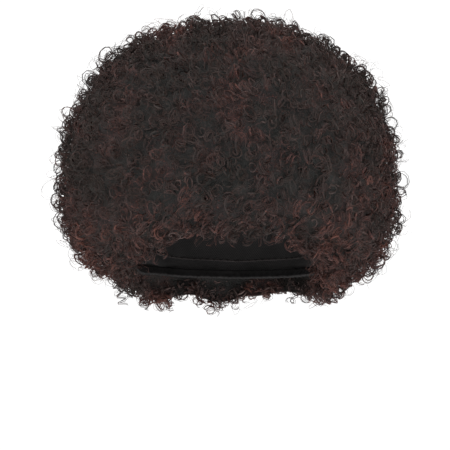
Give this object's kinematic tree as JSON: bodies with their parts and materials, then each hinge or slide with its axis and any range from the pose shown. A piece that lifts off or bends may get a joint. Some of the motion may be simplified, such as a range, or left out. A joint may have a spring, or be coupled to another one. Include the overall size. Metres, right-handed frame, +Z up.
{
  "type": "curly wig",
  "caption": "Round, full wig of tight dark curls on a hollow stretch cap with an elastic rim, open below for the head and in front for the face.",
  "frame": {"origin": "where the crown of the wearer's head meets the inside of the cap, which is what holds the wig up", "axes": "+Z up, -Y the way the wearer faces, +X to the wearer's left"},
  "size_m": [0.2814, 0.2886, 0.2456],
  "materials": {
    "cap_net": "fine knitted stretch net, matt",
    "elastic": "ribbed woven elastic, matt",
    "hair_fibre": "tight curls of fine synthetic fibre, soft sheen"
  },
  "bodies": {
    "root": {"stretch_cap": "cap_net", "rim_elastic": "elastic", "crown_tier": "hair_fibre", "upper_tier": "hair_fibre", "middle_tier": "hair_fibre", "lower_tier": "hair_fibre", "hairline_tier": "hair_fibre"}
  },
  "joints": []
}
